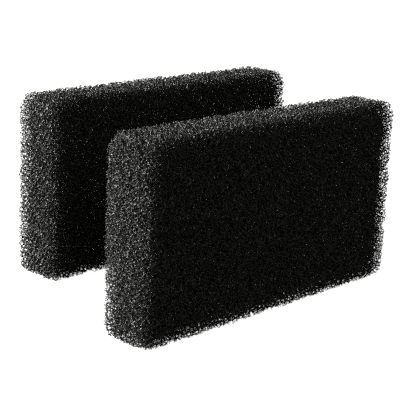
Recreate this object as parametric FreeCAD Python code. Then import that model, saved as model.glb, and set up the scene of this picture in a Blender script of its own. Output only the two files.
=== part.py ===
"""Sponge filter: a set of two identical filter pads of coarse open-cell foam.

Frame: +Z up, +X along the length of the pads. The broad faces of the pads look along -Y and +Y.
Both pads stand on a long narrow side, on the plane Z = 0. The rear pad stands behind the front
pad and a little to its right. The origin is the middle of the set, on that plane.
All sizes are in millimetres.
"""

import FreeCAD, Part
import os

# One pad, cut from one block of foam
PAD_LENGTH = 190.0
PAD_THICKNESS = 30.0
PAD_HEIGHT = 100.0

# The corners of the broad faces, and the rim where a broad face turns into the narrow sides
CORNER_RADIUS = 9.0
RIM_RADIUS = 6.0

# From the middle of the front pad to the middle of the rear pad
REAR_SHIFT_ALONG = 34.0
REAR_SHIFT_BEHIND = 104.0

# A direction is along Y if its Y component is more than this
NEARLY_ONE = 0.99


def corner_edges(solid):
    """The four edges that run through the thickness of the pad."""
    return [edge for edge in solid.Edges if abs(edge.tangentAt(edge.FirstParameter).y) > NEARLY_ONE]


def rim_edges(solid):
    """The closed loops of lines and arcs around the two broad faces."""
    broad_faces = [face for face in solid.Faces if abs(face.normalAt(0.0, 0.0).y) > NEARLY_ONE]
    return [edge for face in broad_faces for edge in face.Edges]


def foam_pad():
    """One pad, standing on Z = 0 and centred on the Z axis."""
    corner = FreeCAD.Vector(-PAD_LENGTH / 2, -PAD_THICKNESS / 2, 0.0)
    block = Part.makeBox(PAD_LENGTH, PAD_THICKNESS, PAD_HEIGHT, corner)
    block = block.makeFillet(CORNER_RADIUS, corner_edges(block))
    return block.makeFillet(RIM_RADIUS, rim_edges(block))


def filter_set():
    """The two pads by name, each at its place about the origin."""
    half_shift = FreeCAD.Vector(REAR_SHIFT_ALONG / 2, REAR_SHIFT_BEHIND / 2, 0.0)
    return {
        "front_pad": foam_pad().translated(half_shift.negative()),
        "rear_pad": foam_pad().translated(half_shift),
    }


os.makedirs("parts", exist_ok=True)
for name, pad in filter_set().items():
    pad.exportStep(os.path.join("parts", name + ".step"))
    print(name, "valid:", pad.isValid(), "volume:", round(pad.Volume), "cubic mm")
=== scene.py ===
"""The looks of the sponge filter: two pads of open-cell foam, built strut by strut around a dark core, whose
near-black colour is painted shade for the foam's depth.
"""

import itertools
import math

import bpy
import numpy as np
from mathutils import Matrix, Vector, noise


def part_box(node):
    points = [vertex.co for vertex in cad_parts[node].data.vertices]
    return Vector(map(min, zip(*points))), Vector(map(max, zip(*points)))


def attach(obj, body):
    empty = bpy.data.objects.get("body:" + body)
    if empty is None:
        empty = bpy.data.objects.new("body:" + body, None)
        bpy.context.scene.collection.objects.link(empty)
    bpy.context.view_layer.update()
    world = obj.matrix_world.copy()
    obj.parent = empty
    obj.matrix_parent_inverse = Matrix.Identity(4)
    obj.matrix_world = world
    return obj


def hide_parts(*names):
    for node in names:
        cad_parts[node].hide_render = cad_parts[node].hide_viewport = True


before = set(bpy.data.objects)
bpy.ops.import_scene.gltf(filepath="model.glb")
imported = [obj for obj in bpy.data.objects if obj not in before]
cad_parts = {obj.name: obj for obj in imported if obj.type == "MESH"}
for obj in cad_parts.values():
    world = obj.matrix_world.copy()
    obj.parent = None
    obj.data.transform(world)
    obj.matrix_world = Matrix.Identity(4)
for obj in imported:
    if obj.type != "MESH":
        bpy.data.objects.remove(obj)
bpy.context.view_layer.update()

MM = 0.001

# The pad's outline: the corners of its broad faces, and the soft rim round each broad face
CORNER_RADIUS = 9.0 * MM
RIM_RADIUS = 6.0 * MM

# The foam: the mean width of a cell, the distance from a node's middle to its four corners, and its spread
CELL = 2.7 * MM
NODE_REACH = 0.195 * MM
NODE_SPREAD = (0.75, 1.3)

# Its unevenness: each cell's jitter as a share of the lattice's spacing, how far the rows of cells wander
# to and fro, over what length, and the lattice's turn: an angle and an axis
JITTER = 0.2
BEND = 2.0 * MM
BEND_LENGTH = 12.0 * MM
LATTICE_ANGLE = 0.7
LATTICE_AXIS = (0.3, 0.5, 1.0)
SEED = 11

# The torn surface: how far it stands proud of the pad's outline, how far above the pad's foot it stays,
# how deep it frays, and the least and greatest share of that depth
PROUD = 0.6 * MM
FOOT = 0.2 * MM
FRAY = 1.5 * MM
FRAY_SHARE = (0.02, 1)

# Its free ends: the share of a torn strut that is left, the limits for any cut strut, and the taper. A node
# at the surface stays only if a chain of at most so many struts joins it to the foam below.
FREE_END = (0.35, 1.0)
CUT_LIMITS = (0.05, 0.95)
FREE_END_TAPER = 0.8
LONGEST_CHAIN = 12

# The core that closes the foam: its depth under the ends, the broad faces and the top, its rounding, its
# mesh size, the depth and steepness of its dents, and how far the struts reach into it
CORE_INSET = np.array([4.8, 2.5, 5.5]) * MM
CORE_RADIUS = 7.0 * MM
CORE_VOXEL = 1.6 * MM
CORE_DENT = 0.6 * MM
CORE_DENT_SLOPE = 1.6
ROOT = 0.7 * MM

# Each side's foam is a few pieces: (name, axis of the side, sign, number of pieces, axis that they follow)
SIDES = (("left_end", 0, -1, 2, 2), ("right_end", 0, 1, 2, 2), ("front_face", 1, -1, 4, 0),
         ("back_face", 1, 1, 4, 0), ("underside", 2, -1, 3, 0), ("top", 2, 1, 3, 0))

# The struts' tones, from matt and dark to glossy and paler: (name, share of the struts, colour, roughness)
TONES = (("matt", 0.30, (0.016, 0.017, 0.014), 0.46), ("plain", 0.36, (0.028, 0.029, 0.024), 0.38),
         ("bright", 0.24, (0.046, 0.047, 0.039), 0.30), ("glossy", 0.10, (0.080, 0.082, 0.068), 0.22))

# The camera: its place, the point that it looks at, its turn about its line of sight, and its lens
CAMERA_PLACE = Vector((-481.4, -433.6, 208.3)) * MM
CAMERA_AIM = Vector((-3.6, 1.3, 42.9)) * MM
CAMERA_ROLL = math.radians(2.5)
CAMERA_LENS = 110.5

# The lights: (name, direction from the pads, width in metres, power in watts), all at one distance
LIGHTS = (("key", (-0.66, 0.70, 0.27), 0.6, 80), ("fill", (-0.70, -0.80, 0.35), 1.2, 5.5),
          ("front", (0.60, -0.80, 0.35), 1.2, 1.5), ("right", (0.95, 0.05, 0.15), 0.5, 18))
LIGHT_AIM = Vector((0, 0, 0.05))
LIGHT_DISTANCE = 1.6

# Cells sit on a body-centred lattice, two to each cube of this spacing, so that a cell holds as much as a
# ball as wide as CELL. Each cell has 26 near neighbours, half of them ahead of it.
SPACING = (math.pi / 3 * CELL**3) ** (1 / 3)
STEPS = (-2, -1, 0, 1, 2)
NEAR = [o for o in itertools.product(STEPS, repeat=3)
        if all(abs(x) == 1 for x in o) or (all(x % 2 == 0 for x in o) and 0 < sum(x * x for x in o) <= 8)]
AHEAD = [o for o in NEAR if o > (0, 0, 0)]
TRIPLES = [t for t in itertools.combinations(range(len(AHEAD)), 3)
           if all(tuple(np.subtract(AHEAD[q], AHEAD[p])) in NEAR for p, q in itertools.combinations(t, 2))]

# Cells are made this far outside the foam, and the lattice this many half spacings past the pad. A node lies
# no further than the node limit from its cells' middles, and rounding may be off by the slack.
CELL_MARGIN = 1.6 * SPACING
LATTICE_MARGIN = 4
NODE_LIMIT = 0.85 * SPACING
SLACK = 1e-6 * SPACING**2

# Small numbers that keep a division from failing, for lengths and for volumes
TINY = 1e-12
NOT_ZERO = 1e-30

# The corners of each face of a node's tetrahedron, turned outwards, for either handedness
FACES = np.array([[[1, 2, 3], [0, 3, 2], [0, 1, 3], [0, 2, 1]],
                  [[1, 3, 2], [0, 2, 3], [0, 3, 1], [0, 1, 2]]])


def rounded(gap, radius):
    """Signed distance to a box with rounded edges, from the signed gaps to its sides."""
    gap = gap + radius
    return np.linalg.norm(np.maximum(gap, 0), axis=-1) + np.minimum(gap.max(-1), 0) - radius


def pad_level(p, low, high, corner, rim):
    """Signed distance to a pad: a rounded outline in XZ, with a rim round both broad faces."""
    gap = np.abs(p - (low + high) / 2) - (high - low) / 2
    outline = rounded(gap[..., [0, 2]], corner)
    return rounded(np.stack([outline, gap[..., 1]], -1), rim)


def unit(v):
    return v / np.maximum(np.linalg.norm(v, axis=-1, keepdims=True), TINY)


def foam_cells(low, high, level, rng):
    """Centres of the cells near the foam, and for each the numbers of its neighbours, -1 for none."""
    turn = np.array(Matrix.Rotation(LATTICE_ANGLE, 3, LATTICE_AXIS))
    corners = np.array(list(itertools.product(*zip(low, high)))) @ turn
    first = np.floor(corners.min(0) * 2 / SPACING).astype(int) - LATTICE_MARGIN
    last = np.ceil(corners.max(0) * 2 / SPACING).astype(int) + LATTICE_MARGIN
    ranges = [np.arange(a, b + 1) for a, b in zip(first, last)]
    at = np.stack(np.meshgrid(*ranges, indexing="ij"), -1).reshape(-1, 3)
    at = at[((at[:, 0] - at[:, 1]) % 2 == 0) & ((at[:, 1] - at[:, 2]) % 2 == 0)]
    p = (at * SPACING / 2) @ turn.T + rng.uniform(-JITTER, JITTER, at.shape) * SPACING
    for axis in range(3):
        p[:, axis] += BEND * np.sin(p[:, axis - 1] / BEND_LENGTH)
    kept = level(p) < CELL_MARGIN
    p, at = p[kept], at[kept] - first + LATTICE_MARGIN
    grid = np.full(tuple(last - first + 2 * LATTICE_MARGIN + 1), -1)
    grid[tuple(at.T)] = np.arange(len(p))
    return p, np.stack([grid[tuple((at + np.array(o)).T)] for o in NEAR], 1)


def foam_nodes(p, near):
    """Points where four cells meet, and those cells: the empty circumspheres of neighbouring fours."""
    away = np.where((near >= 0)[..., None], p[near] - p[:, None], 1.0)
    half = (away * away).sum(-1) / 2
    ahead = [NEAR.index(o) for o in AHEAD]
    pairs = sorted({pair for t in TRIPLES for pair in itertools.combinations(t, 2)})
    cross = {(i, j): np.cross(away[:, ahead[i]], away[:, ahead[j]]) for i, j in pairs}
    places, owners = [], []
    for i, j, k in TRIPLES:
        a, b, c = ahead[i], ahead[j], ahead[k]
        volume = (away[:, a] * cross[j, k]).sum(-1, keepdims=True)
        volume[volume == 0] = NOT_ZERO
        # The middle of the sphere through all four cells, seen from the first one, by Cramer's rule
        x = half[:, a, None] * cross[j, k] - half[:, b, None] * cross[i, k] + half[:, c, None] * cross[i, j]
        x = x / volume
        real = ((x * x).sum(-1) < NODE_LIMIT**2) & (near[:, [a, b, c]] >= 0).all(1)
        w = np.nonzero(real)[0]
        # It is a node only if no other neighbour lies inside that sphere
        w = w[(np.einsum("nc,nlc->nl", x[w], away[w]) <= half[w] + SLACK).all(1)]
        places.append(p[w] + x[w])
        owners.append(np.column_stack([w, near[w][:, [a, b, c]]]))
    return np.concatenate(places), np.concatenate(owners)


def foam_links(owners, count):
    """For each node's four strut ends, the number of the strut end that each one joins, or -1 for none.

    A strut runs where three cells meet, so its two ends belong to the two nodes that share those cells.
    """
    thirds = [np.sort(np.delete(owners, s, axis=1), axis=1) for s in range(4)]
    keys = np.stack([(t[:, 0] * count + t[:, 1]) * count + t[:, 2] for t in thirds], 1).ravel()
    order = np.argsort(keys, kind="stable")
    first = np.nonzero(keys[order[1:]] == keys[order[:-1]])[0]
    link = np.full(len(keys), -1)
    link[order[first]] = order[first + 1]
    link[order[first + 1]] = order[first]
    return link.reshape(-1, 4)


def foam_network(low, high, rng):
    """The foam from the pad's torn surface to its core, as arrays over nodes and their four strut ends."""
    def outer(p):
        return pad_level(p, low - (PROUD, PROUD, -FOOT), high + PROUD, CORNER_RADIUS, RIM_RADIUS)

    def level(p):
        core = pad_level(p, low + CORE_INSET, high - CORE_INSET, CORE_RADIUS, CORE_RADIUS)
        return np.maximum(outer(p), -core - ROOT)

    cells, near = foam_cells(low, high, level, rng)
    place, owners = foam_nodes(cells, near)
    link = foam_links(owners, len(cells))

    # Nodes above the torn surface go. It is torn to another depth at each cell, and a node takes the mean of
    # its four, spread out again. Nodes that no chain of struts holds go too.
    chance = rng.uniform(0, 1, len(cells))[owners].mean(1)
    tear = FRAY * np.clip(2 * chance - 0.5, *FRAY_SHARE)
    depth, skin = level(place), outer(place)
    kept = (depth < 0) & (skin < -tear)
    far = np.maximum(link, 0) // 4
    held = kept & (skin < -FRAY)
    for _ in range(LONGEST_CHAIN):
        held |= kept & (held[far] & (link >= 0)).any(1)
    kept = held

    # A strut between two nodes that stay is whole. Others end where they cross the surface or the core, and
    # torn ones a random way before that.
    whole = (link >= 0) & kept[:, None] & kept[far]
    cut = (link >= 0) & kept[:, None] & ~kept[far]
    reach = place[far] - place[:, None]
    inside, beyond = depth[:, None], depth[far]
    share = np.where(beyond > 0, inside / np.minimum(inside - beyond, -TINY), 1.0)
    torn = skin[far] > -tear[far]
    share = share * np.where(torn, rng.uniform(*FREE_END, share.shape), 1.0)
    share = np.where(cut, np.clip(share, *CUT_LIMITS), 1.0)

    # A strut end that joins nothing still needs a way, so that its node is a whole tetrahedron
    way = unit(reach)
    way[link < 0] = 0
    way[link < 0] = -unit(way.sum(1, keepdims=True).repeat(4, 1)[link < 0])
    new = np.cumsum(kept) - 1
    partner = np.where(whole, new[far] * 4 + link % 4, -1)
    net = {"place": place, "way": way, "reach": reach * share[..., None], "whole": whole, "cut": cut,
           "partner": partner}
    return {name: values[kept] for name, values in net.items()}


def side_of(net, low, high):
    """For each strut, the number of the side nearest to its middle and of the cut that it lies in."""
    middle = net["place"][:, None] + net["reach"] / 2
    gaps = [middle[..., axis] - low[axis] if sign < 0 else high[axis] - middle[..., axis]
            for _, axis, sign, _, _ in SIDES]
    side = np.stack(gaps, -1).argmin(-1)
    cut = np.zeros_like(side)
    for number, (_, _, _, cuts, along) in enumerate(SIDES):
        share = (middle[..., along] - low[along]) / (high[along] - low[along])
        cut = np.where(side == number, np.clip((share * cuts).astype(int), 0, cuts - 1), cut)
    own = np.arange(side.size).reshape(side.shape)
    first = np.where(net["partner"] >= 0, np.minimum(own, net["partner"]), own)
    return side.ravel()[first], cut.ravel()[first]


def strut_mesh(name, net, chosen, size, tone):
    """One closed mesh: three-sided struts between small tetrahedral nodes, cut struts ending in a cap."""
    node = np.nonzero(chosen.any(1))[0]
    local = np.full(len(net["place"]), -1)
    local[node] = np.arange(len(node))

    # A node's corners lie opposite its struts, so that each strut leaves it through the middle of a face
    offset = -net["way"] * size[:, None, None]
    turned = (np.linalg.det(offset[:, 1:] - offset[:, :1]) < 0).astype(int)
    points = [(net["place"][node][:, None] + offset[node]).reshape(-1, 3)]

    # Whole struts: three quads between the facing rings of two nodes, matched with the least twist
    n, s = np.nonzero(chosen & net["whole"])
    once = n * 4 + s < net["partner"][n, s]
    n, s = n[once], s[once]
    m, t = net["partner"][n, s] // 4, net["partner"][n, s] % 4
    near_ring, far_ring = FACES[turned[n], s], FACES[turned[m], t][:, ::-1]
    a, b = offset[n[:, None], near_ring], offset[m[:, None], far_ring]
    twist = np.stack([((a - np.roll(b, -k, axis=1)) ** 2).sum((1, 2)) for k in range(3)], 1).argmin(1)
    far_ring = np.take_along_axis(far_ring, (np.arange(3) + twist[:, None]) % 3, 1)
    a, b = local[n][:, None] * 4 + near_ring, local[m][:, None] * 4 + far_ring
    quads = [np.stack([a, np.roll(a, -1, 1), np.roll(b, -1, 1), b], -1).reshape(-1, 4)]
    tones = [np.repeat(tone[n, s], 3)]

    # Cut struts: three quads to a smaller ring, closed by a cap
    n, s = np.nonzero(chosen & net["cut"])
    ring = FACES[turned[n], s]
    corner, along = offset[n[:, None], ring], net["way"][n, s][:, None]
    across = corner - (corner * along).sum(-1, keepdims=True) * along
    points.append((net["place"][n] + net["reach"][n, s])[:, None] + FREE_END_TAPER * across)
    a, b = local[n][:, None] * 4 + ring, 4 * len(node) + np.arange(3 * len(n)).reshape(-1, 3)
    quads.append(np.stack([a, np.roll(a, -1, 1), np.roll(b, -1, 1), b], -1).reshape(-1, 4))
    tones.append(np.repeat(tone[n, s], 3))
    caps = [b]
    cap_tones = [tone[n, s]]

    # The other faces of the nodes, which carry no strut of this piece
    n, s = np.nonzero(chosen.any(1)[:, None] & ~(chosen & (net["whole"] | net["cut"])))
    caps.append(local[n][:, None] * 4 + FACES[turned[n], s])
    cap_tones.append(tone[n, s])
    return mesh_object(name, np.concatenate([p.reshape(-1, 3) for p in points]), np.concatenate(quads),
                       np.concatenate(caps), np.concatenate(tones + cap_tones))


def mesh_object(name, points, quads, triangles, materials):
    """An object from arrays: its points, its quads, its triangles, and the material slot of each face."""
    mesh = bpy.data.meshes.new(name)
    mesh.vertices.add(len(points))
    mesh.vertices.foreach_set("co", points.astype(np.float32).ravel())
    mesh.loops.add(quads.size + triangles.size)
    loops = np.concatenate([quads.ravel(), triangles.ravel()])
    mesh.loops.foreach_set("vertex_index", loops.astype(np.int32))
    mesh.polygons.add(len(quads) + len(triangles))
    starts = np.concatenate([np.arange(len(quads)) * 4, quads.size + np.arange(len(triangles)) * 3])
    mesh.polygons.foreach_set("loop_start", starts.astype(np.int32))
    mesh.polygons.foreach_set("material_index", materials.astype(np.int32))
    mesh.update(calc_edges=True)
    mesh.shade_smooth()
    return linked(bpy.data.objects.new(name, mesh))


def linked(thing):
    bpy.context.scene.collection.objects.link(thing)
    return thing


def foam_core(name, low, high):
    """The core under the struts: a rounded block with a surface of shallow dents, like cells seen end on."""
    bpy.ops.mesh.primitive_cube_add(size=1)
    core = bpy.context.object
    core.name = name
    core.scale = high - low - 2 * CORE_INSET
    core.location = (low + high) / 2
    bpy.ops.object.transform_apply(location=True, rotation=False, scale=True)
    edges = core.modifiers.new("edges", "BEVEL")
    edges.width = CORE_RADIUS
    edges.segments = 6
    remesh = core.modifiers.new("remesh", "REMESH")
    remesh.mode = "VOXEL"
    remesh.voxel_size = CORE_VOXEL
    bpy.ops.object.modifier_apply(modifier="edges")
    bpy.ops.object.modifier_apply(modifier="remesh")
    normals = [v.normal.copy() for v in core.data.vertices]
    for vertex, normal in zip(core.data.vertices, normals):
        distances = noise.voronoi(vertex.co / CELL)[0]
        vertex.co -= normal * CORE_DENT * (1 - min(distances[0] * CORE_DENT_SLOPE, 1.0))
    core.data.shade_smooth()
    return core


def node_material(name):
    material = bpy.data.materials.new(name)
    material.use_nodes = True
    tree = material.node_tree
    return material, tree, tree.nodes["Principled BSDF"]


def noise_ramp(tree, scale, detail, stops):
    """A colour that wanders between the given (place, colour) stops with a noise in object space."""
    place = tree.nodes.new("ShaderNodeTexCoord")
    texture = tree.nodes.new("ShaderNodeTexNoise")
    texture.inputs["Scale"].default_value = scale
    texture.inputs["Detail"].default_value = detail
    ramp = tree.nodes.new("ShaderNodeValToRGB")
    for element, (at, colour) in zip(ramp.color_ramp.elements, stops):
        element.position = at
        element.color = (*colour, 1)
    tree.links.new(place.outputs["Object"], texture.inputs["Vector"])
    tree.links.new(texture.outputs["Fac"], ramp.inputs["Fac"])
    return ramp


def strut_foam(name, colour, roughness):
    """Black polyurethane with a slight olive cast, whose skin shines more in some places than in others."""
    material, tree, shader = node_material(f"foam_{name}")
    shader.inputs["Base Color"].default_value = (*colour, 1)
    shader.inputs["Roughness"].default_value = roughness
    shine = noise_ramp(tree, scale=600, detail=2, stops=((0.35, (0.3, 0.3, 0.3)), (0.65, (0.8, 0.8, 0.8))))
    tree.links.new(shine.outputs["Color"], shader.inputs["Specular IOR Level"])
    return material


def painted_shade_core():
    """Painted shade for the foam's depth under the struts: nearly black, a little lighter in places that a
    noise picks.
    """
    material, tree, shader = node_material("foam_depth_painted_shade")
    darkest, lightest = (0.004, 0.004, 0.004), (0.014, 0.014, 0.012)
    colour = noise_ramp(tree, scale=400, detail=4, stops=((0.4, darkest), (0.75, lightest)))
    tree.links.new(colour.outputs["Color"], shader.inputs["Base Color"])
    shader.inputs["Roughness"].default_value = 0.9
    shader.inputs["Specular IOR Level"].default_value = 0.1
    return material


def dress(piece, body):
    """Makes a piece of foam ride on a body of the CAD model."""
    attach(piece, body)


def front_pieces(low, high):
    """The front pad's core and the pieces of foam round it, by name."""
    rng = np.random.default_rng(SEED)
    net = foam_network(low, high, rng)
    side, cut = side_of(net, low, high)
    size = NODE_REACH * rng.uniform(*NODE_SPREAD, len(net["place"]))
    tone = rng.choice(len(TONES), side.shape, p=[share for _, share, _, _ in TONES])
    foams = [strut_foam(name, colour, roughness) for name, _, colour, roughness in TONES]
    pieces = {"core": foam_core("front_core", low, high)}
    # The core's nearly black colour is painted shade: it stands in for the foam deeper inside, in shadow.
    pieces["core"].data.materials.append(painted_shade_core())
    for number, (name, _, _, cuts, _) in enumerate(SIDES):
        for part in range(cuts):
            key = f"{name}_{part + 1}"
            pieces[key] = strut_mesh(f"front_{key}", net, (side == number) & (cut == part), size, tone)
            for foam in foams:
                pieces[key].data.materials.append(foam)
    return pieces


def make_pads():
    """Builds the front pad's pieces, and gives the rear pad the same meshes turned half a turn."""
    (low, high), (rear_low, rear_high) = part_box("front_pad"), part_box("rear_pad")
    pieces = front_pieces(np.array(low), np.array(high))
    middle, rear_middle = (low + high) / 2, (rear_low + rear_high) / 2
    turned = Matrix.Translation(rear_middle) @ Matrix.Rotation(math.pi, 4, "Z") @ Matrix.Translation(-middle)
    for key, piece in pieces.items():
        twin = linked(bpy.data.objects.new(f"rear_{key}", piece.data))
        twin.matrix_world = turned
        dress(piece, "front")
        dress(twin, "rear")
        if key == "core":
            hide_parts("front_pad")
            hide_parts("rear_pad")


def make_camera():
    """At the left end's side, above the pads, turned a little about its line of sight."""
    camera = linked(bpy.data.objects.new("camera", bpy.data.cameras.new("camera")))
    turn = (CAMERA_PLACE - CAMERA_AIM).to_track_quat("Z", "Y").to_matrix().to_4x4()
    camera.matrix_world = Matrix.Translation(CAMERA_PLACE) @ turn @ Matrix.Rotation(CAMERA_ROLL, 4, "Z")
    camera.data.lens = CAMERA_LENS
    camera.data.clip_start = 0.01
    bpy.context.scene.camera = camera


def make_floor():
    """A pale floor that keeps its own brightness, so that it lights nothing on the pads."""
    bpy.ops.mesh.primitive_plane_add(size=20)
    floor = bpy.context.object
    floor.name = "floor"
    material, _, shader = node_material("pale_floor")
    shader.inputs["Base Color"].default_value = (0.9, 0.9, 0.9, 1)
    shader.inputs["Roughness"].default_value = 0.9
    shader.inputs["Emission Color"].default_value = (1, 1, 1, 1)
    shader.inputs["Emission Strength"].default_value = 0.96
    floor.data.materials.append(material)
    floor.visible_diffuse = False
    floor.visible_glossy = False


def make_surroundings():
    """A white studio that lights nothing by itself. The strands stay crisp, because nothing is denoised."""
    world = bpy.data.worlds.new("studio")
    world.use_nodes = True
    world.node_tree.nodes["Background"].inputs["Color"].default_value = (1, 1, 1, 1)
    world.cycles_visibility.diffuse = False
    world.cycles_visibility.glossy = False
    bpy.context.scene.world = world
    bpy.context.scene.view_settings.view_transform = "Standard"
    bpy.context.scene.cycles.use_denoising = False


def area_light(name, direction, width, power):
    """A soft square light that looks at the middle of the pads."""
    light = linked(bpy.data.objects.new(name, bpy.data.lights.new(name, "AREA")))
    light.data.size = width
    light.data.energy = power
    light.location = LIGHT_AIM + Vector(direction).normalized() * LIGHT_DISTANCE
    light.rotation_euler = (light.location - LIGHT_AIM).to_track_quat("Z", "Y").to_euler()


make_pads()
make_camera()
make_floor()
make_surroundings()
for light_name, towards, light_width, watts in LIGHTS:
    area_light(light_name, towards, light_width, watts)
